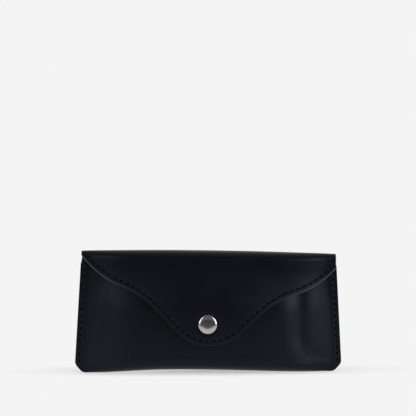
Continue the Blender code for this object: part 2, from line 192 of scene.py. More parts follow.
def body_strip(across, front_rows, sole_rows, back_rows):
    """One strip of the body's outer face: down the back, under the sole and up the front."""
    front, back = front_y(across, 0.0), back_y(across, 0.0)
    radius, middle = (back - front) / 2.0, (back + front) / 2.0
    off_middle = across * FOOT_WIDTH / 2.0 - ARCH_MIDDLE
    off_arch = min(abs(off_middle) / (ARCH_RIGHT if off_middle > 0.0 else ARCH_LEFT), 1.0)
    turn_z = BOTTOM_ARCH * (1.0 - off_arch ** 2) ** 2 + radius
    shift = SOLE_SHIFT * math.sqrt(fullness(across))
    strip = []
    for row in range(back_rows):
        z = mix(BACK_END_Z, turn_z, row / back_rows)
        strip.append((back_y(across, z) - seam_dip(across, z), z))
    for row in range(sole_rows):
        angle = math.pi * row / sole_rows
        y = middle + radius * math.cos(angle) - shift * math.sin(angle)
        strip.append((y, turn_z - radius * math.sin(angle) ** SOLE_SQUARENESS))
    for row in range(front_rows + 1):
        z = mix(turn_z, MOUTH_Z, row / front_rows)
        folds = slack(across * half_width(z), z) * fullness(across) ** FOLD_HOLD
        strip.append((front_y(across, z) + seam_dip(across, z) - folds, z))
    return [set_place(across * half_width(z), y, z) for y, z in strip]


def sewn_shares(width, sewn_margin, inner, margin):
    """Shares of the half width from the left edge to the right, fine along both sewn margins."""
    edge = 1.0 - 2.0 * sewn_margin / width
    left = [mix(-1.0, -edge, step / margin) for step in range(margin)]
    middle = [mix(-edge, edge, step / inner) for step in range(inner + 1)]
    return left + middle + [-share for share in left[::-1]]


def make_piece(name, bm):
    """A smooth-shaded object from a finished mesh, placed in the scene."""
    for face in bm.faces:
        face.smooth = True
    mesh = bpy.data.meshes.new(name)
    bm.to_mesh(mesh)
    bm.free()
    piece = bpy.data.objects.new(name, mesh)
    bpy.context.scene.collection.objects.link(piece)
    return piece


def lay_sheet(name, strips, edge_rows=0):
    """A sheet through rows of points, with the distances along it in metres as its UV map.

    Its last rows may be given the sheet's second material, which on the flap carries the edge's painted
    highlight.
    """
    across, along = len(strips) - 1, len(strips[0]) - 1
    bm = bmesh.new()
    bmesh.ops.create_grid(bm, x_segments=across, y_segments=along, size=0.5)
    grain = bm.loops.layers.uv.new("grain")
    runs = []
    for strip in strips:
        run = [0.0]
        for start, end in zip(strip, strip[1:]):
            run.append(run[-1] + (end - start).length)
        runs.append(run)
    for face in bm.faces:
        face.material_index = 1 if face.calc_center_median().y > 0.5 - edge_rows / along else 0
    for vertex in bm.verts:
        column = round((vertex.co.x + 0.5) * across)
        row = round((vertex.co.y + 0.5) * along)
        vertex.co = strips[column][row]
        for loop in vertex.link_loops:
            loop[grain].uv = (vertex.co.x, runs[column][row])
    return make_piece(name, bm)


def thicken(sheet, thickness, depth, rounding):
    """Give a sheet its thickness, set in by a depth from its outer face, with rounded cut edges."""
    shell = sheet.modifiers.new("thickness", "SOLIDIFY")
    shell.thickness = thickness
    shell.offset = -1.0 - 2.0 * depth / thickness
    shell.material_offset_rim = 1
    edge = sheet.modifiers.new("edge", "BEVEL")
    edge.width = rounding
    edge.segments = 3
    edge.limit_method = "ANGLE"
    edge.angle_limit = math.radians(50)
    edge.profile = 0.5
    edge.material = -1


def new_material(name, colour, roughness):
    """A material, with its node tree and its Principled shader."""
    material = bpy.data.materials.new(name)
    material.use_nodes = True
    tree = material.node_tree
    shader = tree.nodes["Principled BSDF"]
    shader.inputs["Base Color"].default_value = (*colour, 1.0)
    shader.inputs["Roughness"].default_value = roughness
    return material, tree, shader


def add_node(tree, kind, **values):
    """A node with its properties and inputs set, and its inputs linked where a socket is given."""
    node = tree.nodes.new(kind)
    for key, value in values.items():
        if hasattr(node, key):
            setattr(node, key, value)
        elif isinstance(value, bpy.types.NodeSocket):
            tree.links.new(value, node.inputs[key.replace("_", " ")])
        else:
            node.inputs[key.replace("_", " ")].default_value = value
    return node


def calculate(tree, operation, *values):
    """Result of a Math node on sockets and numbers."""
    node = add_node(tree, "ShaderNodeMath", operation=operation)
    for place, value in zip(node.inputs, values):
        if isinstance(value, bpy.types.NodeSocket):
            tree.links.new(value, place)
        else:
            place.default_value = value
    return node.outputs["Value"]


def ramp(tree, value, stops):
    """A colour ramp through (place, grey or colour) stops."""
    node = tree.nodes.new("ShaderNodeValToRGB")
    tree.links.new(value, node.inputs["Fac"])
    elements = node.color_ramp.elements
    while len(elements) < len(stops):
        elements.new(0.5)
    for element, (place, colour) in zip(elements, stops):
        element.position = place
        element.color = (*colour, 1.0) if isinstance(colour, tuple) else (colour, colour, colour, 1.0)
    return node.outputs["Color"]


def emboss(tree, shader, strength, distance, height):
    """Raise a shader's surface by a height pattern."""
    bump = add_node(tree, "ShaderNodeBump", Strength=strength, Distance=distance, Height=height)
    tree.links.new(bump.outputs["Normal"], shader.inputs["Normal"])


def leather_material(name):
    """Smooth black leather: fine pores and creases, a soft waxed sheen and cloudy variation."""
    material, tree, shader = new_material(name, (0.006, 0.006, 0.008), 0.42)
    shader.inputs["Specular IOR Level"].default_value = 0.165
    shader.inputs["Specular Tint"].default_value = (0.80, 0.80, 1.0, 1.0)
    grain = add_node(tree, "ShaderNodeUVMap", uv_map="grain").outputs["UV"]
    clouds = add_node(tree, "ShaderNodeTexNoise", Vector=grain, Scale=42.0, Detail=5.0, Roughness=0.6)
    pores = add_node(tree, "ShaderNodeTexVoronoi", Vector=grain, Scale=2100.0, feature="SMOOTH_F1",
                     Smoothness=0.35)
    creases = add_node(tree, "ShaderNodeTexNoise", Vector=grain, Scale=620.0, Detail=6.0, Roughness=0.62)
    colour = ramp(tree, clouds.outputs["Fac"],
                  ((0.30, (0.0026, 0.0032, 0.0058)), (0.72, (0.0042, 0.0050, 0.0080))))
    tree.links.new(colour, shader.inputs["Base Color"])
    sheen = ramp(tree, clouds.outputs["Fac"], ((0.25, 0.32), (0.75, 0.41)))
    tree.links.new(sheen, shader.inputs["Roughness"])
    height = calculate(tree, "MULTIPLY_ADD", pores.outputs["Distance"], 0.55, creases.outputs["Fac"])
    emboss(tree, shader, 0.20, 0.00009, height)
    return material


def edge_material(name):
    """Cut edge of the hide, rubbed smooth with wax: a little paler than the face, with fine fibres."""
    material, tree, shader = new_material(name, (0.020, 0.023, 0.028), 0.30)
    shader.inputs["Specular IOR Level"].default_value = 0.5
    place = add_node(tree, "ShaderNodeTexCoord").outputs["Object"]
    fibres = add_node(tree, "ShaderNodeTexNoise", Vector=place, Scale=900.0, Detail=4.0)
    colour = ramp(tree, fibres.outputs["Fac"], ((0.3, (0.014, 0.016, 0.020)), (0.7, (0.028, 0.032, 0.038))))
    tree.links.new(colour, shader.inputs["Base Color"])
    emboss(tree, shader, 0.2, 0.00008, fibres.outputs["Fac"])
    return material


leather = leather_material("black_leather")
body_columns = sewn_shares(BOTTOM_WIDTH, FINE_MARGIN, 96, 16)
body_leather = lay_sheet("pouch_hide", [body_strip(share, 106, 36, 100) for share in body_columns])
thicken(body_leather, LEATHER, 0.0, 0.00032)
body_leather.data.materials.append(leather)
body_leather.data.materials.append(edge_material("burnished_edge"))
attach(body_leather, "pouch")
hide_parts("body_leather")


# Body lining. A soft brushed lining is bonded to the flesh side of the hide and sewn into the side seams.
# It shows in the mouth when the flap is open, and as a thin layer along the cut sides.
BODY_LINING = SEAM_HALF - LEATHER - 0.00003


def lining_material(name):
    """Black brushed lining: short nap in soft patches, fully matt."""
    material, tree, shader = new_material(name, (0.014, 0.014, 0.016), 0.95)
    shader.inputs["Specular IOR Level"].default_value = 0.15
    shader.inputs["Sheen Weight"].default_value = 0.15
    shader.inputs["Sheen Roughness"].default_value = 0.5
    grain = add_node(tree, "ShaderNodeUVMap", uv_map="grain").outputs["UV"]
    nap = add_node(tree, "ShaderNodeTexNoise", Vector=grain, Scale=2600.0, Detail=5.0, Roughness=0.7)
    patches = add_node(tree, "ShaderNodeTexNoise", Vector=grain, Scale=120.0, Detail=4.0, Roughness=0.6)
    colour = ramp(tree, patches.outputs["Fac"], ((0.3, (0.010, 0.010, 0.012)), (0.7, (0.021, 0.021, 0.024))))
    tree.links.new(colour, shader.inputs["Base Color"])
    emboss(tree, shader, 0.5, 0.0002, nap.outputs["Fac"])
    return material


lining = lining_material("brushed_lining")
lining_columns = sewn_shares(BOTTOM_WIDTH, FINE_MARGIN, 56, 6)
body_lining = lay_sheet("pouch_lining", [body_strip(share, 50, 24, 50) for share in lining_columns])
thicken(body_lining, BODY_LINING, LEATHER, 0.0002)
body_lining.data.materials.append(lining)
body_lining.data.materials.append(lining)
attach(body_lining, "pouch")
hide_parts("body_lining")


# Flap leather. The back of the hide runs on over the mouth in a rounded fold and comes down in front as an
# envelope flap with an S-shaped edge. It hangs a little askew, stands off over the snap, and is sewn along
# its edge, which is left raw. A painted highlight pales that edge towards the shoulders, where light catches
# it.
TOP_BOW = 0.0016           # how far the fold falls off towards its ends
FLAP_TIP_Z = 0.0199
TIP_RADIUS = 0.0285
SIDE_SLOPE = math.radians(44)
WAIST_START = 0.0332
WAIST_RADIUS = 0.056
WAIST_SLOPE = math.radians(17.2)
SHOULDER_RADIUS = 0.051
STEEPEST = 0.99            # most that the sine of the shoulder's slope may be
FLAP_SKEW = 0.040
FLAP_INSET = 0.0030
FLAP_PLY = 0.0022
FLAP_GAP = 0.0010
SNAP_GAP = 0.0045
SNAP_Z = (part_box("snap_cap")[0].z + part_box("snap_cap")[1].z) / 2.0
SNAP_FLAT = 0.0075
SNAP_SPREAD = 0.055
SNAP_PRESS = 0.00030       # how far the cap presses into the leather
PRESS_FLAT = 0.0052        # radius of that dent, and the width of its side
PRESS_EASE = 0.0030
SNAP_TILT = math.tan(math.radians(1.5))    # the flap comes down from the fold, so the cap looks up a little
FOLD_START_Z = CREASE_Z + 0.0003
BACK_STRIP = FOLD_START_Z - BACK_END_Z
BEND_REACH = 0.0036        # how far past the crease the hide bends as the flap opens
BEND_ROWS = 26
EDGE_BAND = 0.0065         # band along the edge that carries the stitching
EDGE_TURN = 0.00055        # width of the rounded-over edge, which carries the painted highlight
EDGE_DROP = 0.00022
EDGE_ROWS = 3
BAND_LIMIT = 0.45          # most of a short strip that the band may take
TURN_LIMIT = 0.3           # most of the band that the rounded edge may take


def level_flap_edge(reach):
    """Height and slope of the flap's edge at a distance from the middle: tip, side, waist and shoulder."""
    tip_end = TIP_RADIUS * math.sin(SIDE_SLOPE)
    side_z = FLAP_TIP_Z + TIP_RADIUS * (1.0 - math.cos(SIDE_SLOPE))
    waist_z = side_z + (WAIST_START - tip_end) * math.tan(SIDE_SLOPE)
    waist_end = WAIST_START + WAIST_RADIUS * (math.sin(SIDE_SLOPE) - math.sin(WAIST_SLOPE))
    shoulder_z = waist_z + WAIST_RADIUS * (math.cos(WAIST_SLOPE) - math.cos(SIDE_SLOPE))
    if reach < tip_end:
        slope = math.asin(reach / TIP_RADIUS)
        return FLAP_TIP_Z + TIP_RADIUS * (1.0 - math.cos(slope)), slope
    if reach < WAIST_START:
        return side_z + (reach - tip_end) * math.tan(SIDE_SLOPE), SIDE_SLOPE
    if reach < waist_end:
        slope = math.asin(math.sin(SIDE_SLOPE) - (reach - WAIST_START) / WAIST_RADIUS)
        return waist_z + WAIST_RADIUS * (math.cos(slope) - math.cos(SIDE_SLOPE)), slope
    slope = math.asin(min(math.sin(WAIST_SLOPE) + (reach - waist_end) / SHOULDER_RADIUS, STEEPEST))
    return shoulder_z + SHOULDER_RADIUS * (math.cos(WAIST_SLOPE) - math.cos(slope)), slope


def flap_edge(x):
    """Height of the flap's edge at a place across the case, and its slope away from the tip."""
    z, slope = level_flap_edge(abs(x))
    return z - x * FLAP_SKEW, math.atan(math.tan(slope) - math.copysign(FLAP_SKEW, x))


def flap_front_y(x, z):
    """Outer face of the flap, which stands off the panel round the snap and is pressed in by the cap."""
    across = min(abs(x) / half_width(z), 1.0)
    off_snap = math.hypot(x + LEAN * SNAP_Z, z - SNAP_Z)
    gap = mix(SNAP_GAP, FLAP_GAP, smoothstep((off_snap - SNAP_FLAT) / (SNAP_SPREAD - SNAP_FLAT)))
    press = SNAP_PRESS * (1.0 - smoothstep((off_snap - PRESS_FLAT) / PRESS_EASE))
    tilt = SNAP_TILT * (z - SNAP_Z) * (1.0 - smoothstep((off_snap - SNAP_FLAT) / (2.0 * SNAP_FLAT)))
    return front_y(across, z) - FLAP_PLY - gap + press + tilt


def fold_size(x):
    """Middle, half depth and rise of the top fold, half an ellipse over the mouth."""
    front = flap_front_y(x, FOLD_START_Z)
    rise = TOP_Z - FOLD_START_Z - TOP_BOW * (2.0 * x / FLAP_WIDTH) ** 2
    return (SEAM_HALF + front) / 2.0, (SEAM_HALF - front) / 2.0, rise


def fold_girth(x):
    """Length of the top fold from the crease to the front."""
    half_depth, rise = fold_size(x)[1:]
    return math.pi * math.sqrt((half_depth ** 2 + rise ** 2) / 2.0)


def flap_point(share, girth):
    """A point of the flap's outer face, at a distance from the crease round the top fold."""
    if girth < 0.0:
        z = FOLD_START_Z + girth
        return set_place(share * half_width(z), SEAM_HALF, z)
    x = share * FLAP_WIDTH / 2.0
    past_fold = girth - fold_girth(x)
    if past_fold < 0.0:
        middle, half_depth, rise = fold_size(x)
        angle = math.pi * girth / fold_girth(x)
        return set_place(x, middle + half_depth * math.cos(angle), FOLD_START_Z + rise * math.sin(angle))
    z = FOLD_START_Z - past_fold
    return set_place(x, flap_front_y(x, z), z)


def flap_surface(x, height):
    """Point and outward normal of the flap at a height on its unrolled front."""
    share = x / (FLAP_WIDTH / 2.0)
    girth = fold_girth(x) + FOLD_START_Z - height
    step, turn = 0.0004, 0.004
    along = flap_point(share + turn, girth) - flap_point(share - turn, girth)
    up = flap_point(share, girth - step) - flap_point(share, girth + step)
    return flap_point(share, girth), along.cross(up).normalized()


def flap_stitch_line():
    """Line of the flap's stitching, from the left crown round the tip to the right.

    Its points are (x, height) on the unrolled flap.
    """
    limit = FLAP_WIDTH / 2.0 - FLAP_INSET
    crown = FOLD_START_Z + fold_girth(limit) / 2.0
    step = 0.0002
    line = []
    for index in range(-round(FLAP_WIDTH / 2.0 / step), round(FLAP_WIDTH / 2.0 / step) + 1):
        x = index * step
        z, slope = flap_edge(x)
        inset = x - math.copysign(FLAP_INSET * math.sin(slope), x)
        if abs(inset) <= limit:
            line.append((inset, z + FLAP_INSET * math.cos(slope)))
    for end, side in ((0, -1.0), (-1, 1.0)):
        height = line[end][1]
        rise = [(side * limit, height + step * (count + 1)) for count in range(int((crown - height) / step))]
        line = line + rise if side > 0 else rise[::-1] + line
    return line


def even_places(line, pitch):
    """Running length of a line of points, in stitches of about the pitch, at each of its points."""
    run = [0.0]
    for start, end in zip(line, line[1:]):
        run.append(run[-1] + math.hypot(end[0] - start[0], end[1] - start[1]))
    count = round(run[-1] / pitch)
    return [length / run[-1] * count for length in run], count


stitch_line = flap_stitch_line()
stitch_runs, flap_stitches = even_places(stitch_line, STITCH_PITCH)
stitch_tree = KDTree(len(stitch_line))
for index, (x, height) in enumerate(stitch_line):
    stitch_tree.insert((x, height, 0.0), index)
stitch_tree.balance()


def flap_strip(share, upper_rows, band_rows):
    """One strip of the flap: from the back panel over the fold and down the front to its edge."""
    x = share * FLAP_WIDTH / 2.0
    edge_z, slope = flap_edge(x)
    edge = fold_girth(x) + FOLD_START_Z - edge_z
    band = min(EDGE_BAND / math.cos(slope), BAND_LIMIT * edge)
    turn = min(EDGE_TURN / math.cos(slope), TURN_LIMIT * band)
    girths = [mix(-BACK_STRIP, BEND_REACH, row / BEND_ROWS) for row in range(BEND_ROWS)]
    girths += [mix(BEND_REACH, edge - band, row / upper_rows) for row in range(upper_rows)]
    girths += [mix(edge - band, edge - turn, row / band_rows) for row in range(band_rows + 1)]
    girths += [edge - turn * (1.0 - row / EDGE_ROWS) for row in range(1, EDGE_ROWS + 1)]
    strip = []
    for girth in girths:
        point = flap_point(share, girth)
        if girth > 0.0:
            height = fold_girth(x) + FOLD_START_Z - girth
            index, off = stitch_tree.find((x, height, 0.0))[1:]
            if off < 3.0 * GROOVE_HALF:
                point = point - flap_surface(x, height)[1] * stitch_dip(stitch_runs[index], off)
            if girth > edge - turn:
                over = 1.0 - (edge - girth) / turn
                point = point - flap_surface(x, height)[1] * EDGE_DROP * over * over
        strip.append(point)
    return strip


def flap_edge_highlight_material(name):
    """Cut edge of the flap, with a painted highlight that grows paler towards the two shoulders."""
    material, tree, shader = new_material(name, (0.030, 0.034, 0.042), 0.38)
    shader.inputs["Specular IOR Level"].default_value = 0.16
    grain = add_node(tree, "ShaderNodeUVMap", uv_map="grain").outputs["UV"]
    across = add_node(tree, "ShaderNodeSeparateXYZ", Vector=grain).outputs["X"]
    share = calculate(tree, "DIVIDE", calculate(tree, "ABSOLUTE", across), FLAP_WIDTH / 2.0)
    # painted highlight: the edge is near black at the tip and pale grey-blue towards the shoulders, where
    # light catches it
    colour = ramp(tree, share, ((0.46, (0.003, 0.004, 0.007)), (0.64, (0.022, 0.027, 0.035)),
                                (0.78, (0.064, 0.082, 0.104)), (1.0, (0.086, 0.109, 0.136))))
    tree.links.new(colour, shader.inputs["Base Color"])
    fibres = add_node(tree, "ShaderNodeTexNoise", Vector=grain, Scale=900.0, Detail=4.0)
    emboss(tree, shader, 0.2, 0.00008, fibres.outputs["Fac"])
    return material


flap_columns = sewn_shares(FLAP_WIDTH, EDGE_BAND, 200, 16)[::-1]
flap_leather = lay_sheet("flap_hide", [flap_strip(share, 66, 20) for share in flap_columns], EDGE_ROWS)
thicken(flap_leather, LEATHER, 0.0, 0.00020)
flap_leather.data.materials.append(leather)
# the flap's cut edge and rims carry a painted highlight towards the shoulders
flap_leather.data.materials.append(flap_edge_highlight_material("flap_edge_painted_highlight"))
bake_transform(flap_leather)
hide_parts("flap_leather")


# Flap lining. The same brushed lining backs the flap and is held by the flap's own stitching.
# It is trimmed level with the leather's edge.
flap_lining_columns = sewn_shares(FLAP_WIDTH, EDGE_BAND, 120, 8)[::-1]
flap_lining = lay_sheet("flap_lining_sheet", [flap_strip(share, 36, 12) for share in flap_lining_columns])
thicken(flap_lining, FLAP_PLY - LEATHER, LEATHER, 0.0002)
flap_lining.data.materials.append(lining)
flap_lining.data.materials.append(lining)
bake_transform(flap_lining)
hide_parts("flap_lining")


# Side seams. Black waxed thread is sewn through both panels and linings close to each side.
# Each stitch dips into its needle holes and stands up slightly between them.
THREAD = 0.00072
STITCH_SINK = 0.00016      # middle of the thread under the leather's face at the needle holes
STITCH_RISE = 0.00026      # how far it stands up again between them
STITCH_SLANT = 0.045       # how far each end stands off the line, as a share of the pitch


def thread_material(name):
    """Black waxed thread, two plies twisted together."""
    material, tree, shader = new_material(name, (0.001, 0.001, 0.0015), 0.8)
    shader.inputs["Specular IOR Level"].default_value = 0.06
    ply = add_node(tree, "ShaderNodeUVMap", uv_map="twist").outputs["UV"]
    turned = add_node(tree, "ShaderNodeMapping", Vector=ply, Rotation=(0.0, 0.0, math.radians(38)),
                      Scale=(2.0, 4.0, 1.0))
    twist = add_node(tree, "ShaderNodeTexWave", Vector=turned.outputs["Vector"], Scale=1.6, Distortion=0.4,
                     Detail=1.0)
    colour = ramp(tree, twist.outputs["Fac"],
                  ((0.2, (0.0005, 0.0005, 0.0008)), (0.8, (0.0018, 0.0018, 0.0024))))
    tree.links.new(colour, shader.inputs["Base Color"])
    emboss(tree, shader, 0.6, 0.0001, twist.outputs["Fac"])
    return material


def add_stitch(bm, start, end, up):
    """One stitch between two needle holes: a grain of thread, arched along its length."""
    side = (end - start).cross(up).normalized()
    made = bmesh.ops.create_uvsphere(bm, u_segments=6, v_segments=8, radius=0.5, calc_uvs=True)
    for vertex in made["verts"]:
        place = 2.0 * vertex.co.z
        ring = max(math.hypot(vertex.co.x, vertex.co.y), 1e-6)
        thick = THREAD / 2.0 * math.sqrt(max(1.0 - abs(place) ** 4, 0.0))
        out = (side * vertex.co.x + up * vertex.co.y) * (thick / ring)
        lift = up * (STITCH_RISE * (1.0 - place * place) - STITCH_SINK)
        vertex.co = start.lerp(end, 0.5 + place / 2.0) + lift + out


def sew(name, runs):
    """Rows of stitches as one piece: each run is a list of (middle of a bridge, outward normal)."""
    bm = bmesh.new()
    bm.loops.layers.uv.new("twist")
    for run in runs:
        for (start, first_up), (end, next_up) in zip(run, run[1:]):
            up = (first_up + next_up).normalized()
            slant = (end - start).cross(up) * STITCH_SLANT
            add_stitch(bm, start.lerp(end, STITCH_GAP) + slant, end.lerp(start, STITCH_GAP) - slant, up)
    bmesh.ops.reverse_faces(bm, faces=bm.faces)    # a stitch is laid mirrored, so its faces are turned out
    stitches = make_piece(name, bm)
    stitches.data.materials.append(thread)
    return stitches


def seam_holes(side, face):
    """Bridges between the needle holes of a side seam, on the front (face -1) or the back (face 1)."""
    holes = []
    for step in range(SEAM_STITCHES + 1):
        z = mix(SEAM_LOW, SEAM_HIGH, step / SEAM_STITCHES)
        x = side * (half_width(z) - SEAM_INSET)
        holes.append((set_place(x, face * SEAM_HALF, z), Vector((0.0, face, 0.0))))
    return holes


thread = thread_material("waxed_thread")
for side_name, side in (("left", -1.0), ("right", 1.0)):
    for node, face in ((side_name + "_seam_thread", -1.0), (side_name + "_seam_back_thread", 1.0)):
        stitches = sew(node.replace("thread", "stitches"), [seam_holes(side, face)])
        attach(stitches, "pouch")
        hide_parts(node)


# Flap stitching. The same thread runs round the flap's edge through leather and lining.
# Needle stitches show on the leather and bobbin stitches on the lining.
def flap_holes(depth, face):
    """Bridges between the needle holes of the flap's stitching, at a depth under its outer face."""
    holes = []
    for count in range(flap_stitches + 1):
        nearest = min(range(len(stitch_runs)), key=lambda index: abs(stitch_runs[index] - count))
        point, normal = flap_surface(*stitch_line[nearest])
        holes.append((point - normal * depth, normal * face))
    return holes


flap_thread = sew("flap_stitches", [flap_holes(0.0, 1.0), flap_holes(FLAP_PLY, -1.0)])
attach(flap_thread, "flap")
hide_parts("flap_thread")


# Snap cap. A low dome of nickel-plated brass with a rolled edge is pressed into the flap's leather.
# Its barrel goes through leather and lining, and its end is clinched over the plate of the socket behind.
CAP_DIAMETER = 0.0120
CAP_TOP = 0.0020           # height of the cap over the flap
CAP_DOME = 0.00056         # rise of its dome, which is flat in the middle and curves towards the edge
CAP_ROLL = 0.00080         # radius of the rolled edge
ROLL_SHARE = 0.6           # share of that radius by which the dome stops short of the edge
CAP_FOOT_INSET = 0.0009
CAP_BARREL = 0.0032
CLINCH_RADIUS = 0.0020
CLINCH_ROLL = 0.0003
CLINCH_SET = 0.0002        # middle of the roll under the barrel's end
CLINCH_BORE = 0.0010
CAP_TILT_DEPTH = 0.0012    # the barrel stays straight below this depth, and the tilt eases in above it
CAP_TILT_EASE = 0.0008
DOME_STEPS = 14
SNAP_STEPS = 72
NO_GAP = 0.0003            # clearance between pieces that touch
PLATE = 0.0005             # thickness of the socket's plate and wall
flap_face = -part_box("snap_cap")[0].y + SEAM_Y - CAP_TOP    # flap's outer face at the snap


def nickel_material(name, colour, roughness):
    """Nickel plate, faintly brushed and cloudy with handling."""
    material, tree, shader = new_material(name, colour, roughness)
    shader.inputs["Metallic"].default_value = 1.0
    place = add_node(tree, "ShaderNodeTexCoord").outputs["Object"]
    brushed = add_node(tree, "ShaderNodeMapping", Vector=place, Scale=(2600.0, 2600.0, 240.0))
    lines = add_node(tree, "ShaderNodeTexNoise", Vector=brushed.outputs["Vector"], Scale=1.0, Detail=3.0)
    clouds = add_node(tree, "ShaderNodeTexNoise", Vector=place, Scale=420.0, Detail=4.0)
    wear = ramp(tree, clouds.outputs["Fac"], ((0.3, roughness * 0.8), (0.7, roughness * 1.25)))
    tree.links.new(wear, shader.inputs["Roughness"])
    emboss(tree, shader, 0.12, 0.00004, lines.outputs["Fac"])
    return material


def arc(middle, radius, start, end, steps):
    """Points (radius, height) of a profile's arc, angles in degrees from the radial direction."""
    points = []
    for step in range(steps + 1):
        angle = math.radians(mix(start, end, step / steps))
        points.append((middle[0] + radius * math.cos(angle), middle[1] + radius * math.sin(angle)))
    return points


def stand_on_snap(name, bm, depth, material):
    """Finish a mesh made about the upright axis as a piece that stands out from a depth of the section."""
    upright = Matrix.Rotation(math.pi / 2.0, 3, "X")
    bmesh.ops.rotate(bm, verts=bm.verts, cent=(0.0, 0.0, 0.0), matrix=upright)
    bmesh.ops.translate(bm, verts=bm.verts, vec=(0.0, SEAM_Y - depth, SNAP_Z))
    bmesh.ops.remove_doubles(bm, verts=bm.verts, dist=1e-7)
    bmesh.ops.recalc_face_normals(bm, faces=bm.faces)
    piece = make_piece(name, bm)
    piece.data.set_sharp_from_angle(angle=math.radians(40))
    piece.data.materials.append(material)
    return piece


def turn_piece(name, profile, depth, material, closed=False):
    """A turned piece on the snap's axis, its profile (radius, height) standing out from a depth."""
    bm = bmesh.new()
    corners = [bm.verts.new((radius, 0.0, height)) for radius, height in profile]
    edges = [bm.edges.new(pair) for pair in zip(corners, corners[1:])]
    if closed:
        edges.append(bm.edges.new((corners[-1], corners[0])))
    bmesh.ops.spin(bm, geom=corners + edges, axis=(0.0, 0.0, 1.0), cent=(0.0, 0.0, 0.0),
                   angle=2.0 * math.pi, steps=SNAP_STEPS, use_merge=True)
    return stand_on_snap(name, bm, depth, material)


def carry(piece, body, node):
    """Fix a piece of the snap to a body, and hide the node that it stands in for."""
    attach(piece, body)
    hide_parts(node)


cap_radius = CAP_DIAMETER / 2.0
cap_face = cap_radius - ROLL_SHARE * CAP_ROLL
edge_lean = math.atan(4.0 * CAP_DOME / cap_face)
roll_height = CAP_TOP - CAP_DOME - CAP_ROLL * math.cos(edge_lean)
barrel_end = -FLAP_PLY - 2.0 * NO_GAP - PLATE
cap_profile = [(cap_face * step / DOME_STEPS, CAP_TOP - CAP_DOME * (step / DOME_STEPS) ** 4)
               for step in range(DOME_STEPS)]
cap_profile += arc((cap_radius - CAP_ROLL, roll_height), CAP_ROLL, 90.0 - math.degrees(edge_lean), -60.0, 14)
cap_profile += [(cap_radius - CAP_FOOT_INSET, -SNAP_PRESS), (CAP_BARREL / 2.0, -SNAP_PRESS)]
cap_profile += [(CAP_BARREL / 2.0, barrel_end)]
cap_profile += arc((CLINCH_RADIUS, barrel_end - CLINCH_SET), CLINCH_ROLL, 90.0, -90.0, 6)
cap_profile += [(CLINCH_BORE + 0.0001, barrel_end - CLINCH_SET - CLINCH_ROLL), (CLINCH_BORE, barrel_end)]
cap_profile += [(0.0, barrel_end)]
nickel = nickel_material("nickel_plate", (0.46, 0.435, 0.43), 0.15)
cap = turn_piece("snap_cap_shell", cap_profile, flap_face, nickel)
for vertex in cap.data.vertices:
    out = SEAM_Y - flap_face - vertex.co.y
    tilted = smoothstep((out + CAP_TILT_DEPTH) / CAP_TILT_EASE)
    vertex.co.y += SNAP_TILT * (vertex.co.z - SNAP_Z) * tilted
carry(cap, "flap", "snap_cap")


# Snap socket. A cup of plated brass sits behind the flap's lining, held by the clinched barrel of the cap.
# Its rim is rolled inwards, and the chamber inside the rim keeps the spring.
SOCKET_RADIUS = 0.0055
SOCKET_HEIGHT = 0.0030
SOCKET_HOLE = 0.0019
SOCKET_ROUND = 0.0006
SOCKET_MOUTH = 0.0036
MOUTH_ROLL = 0.0003
plate_top = -FLAP_PLY - NO_GAP
socket_end = plate_top - SOCKET_HEIGHT
chamber = SOCKET_RADIUS - 2.0 * PLATE
socket_side = SOCKET_RADIUS - SOCKET_ROUND
socket_profile = [(SOCKET_HOLE, plate_top), (socket_side, plate_top)]
socket_profile += arc((socket_side, plate_top - SOCKET_ROUND), SOCKET_ROUND, 80.0, 0.0, 5)
socket_profile += arc((socket_side, socket_end + SOCKET_ROUND), SOCKET_ROUND, 0.0, -90.0, 6)
socket_profile += arc((SOCKET_MOUTH, socket_end + MOUTH_ROLL), MOUTH_ROLL, -90.0, -270.0, 8)
socket_profile += [(chamber, socket_end + PLATE), (chamber, plate_top - PLATE)]
socket_profile += [(SOCKET_HOLE, plate_top - PLATE)]
plain_nickel = nickel_material("nickel_inside", (0.56, 0.54, 0.53), 0.30)
socket = turn_piece("snap_socket_cup", socket_profile, flap_face, plain_nickel, closed=True)
carry(socket, "flap", "snap_socket")


# Snap spring. A split ring of drawn wire lies loose in the socket's chamber.
# It opens over the stud's head and closes round its neck.
SPRING_WIRE = 0.0006
SPRING_SPLIT = math.radians(50)
spring_radius = chamber - NO_GAP - SPRING_WIRE / 2.0
spring_height = socket_end + PLATE + NO_GAP + SPRING_WIRE / 2.0
ring = bmesh.new()
bmesh.ops.create_circle(ring, segments=12, radius=SPRING_WIRE / 2.0, cap_ends=True)
bmesh.ops.translate(ring, verts=ring.verts, vec=(spring_radius, 0.0, 0.0))
bmesh.ops.rotate(ring, verts=ring.verts, cent=(0.0, 0.0, 0.0),
                 matrix=Matrix.Rotation(math.pi / 2.0, 3, "X"))
bmesh.ops.rotate(ring, verts=ring.verts, cent=(0.0, 0.0, 0.0),
                 matrix=Matrix.Rotation(math.pi / 2.0 + SPRING_SPLIT / 2.0, 3, "Z"))
bmesh.ops.spin(ring, geom=ring.faces[:], axis=(0.0, 0.0, 1.0), cent=(0.0, 0.0, 0.0),
               angle=2.0 * math.pi - SPRING_SPLIT, steps=64)
spring_wire = nickel_material("spring_wire", (0.45, 0.44, 0.42), 0.34)
spring = stand_on_snap("snap_spring_ring", ring, flap_face + spring_height, spring_wire)
carry(spring, "flap", "snap_spring")


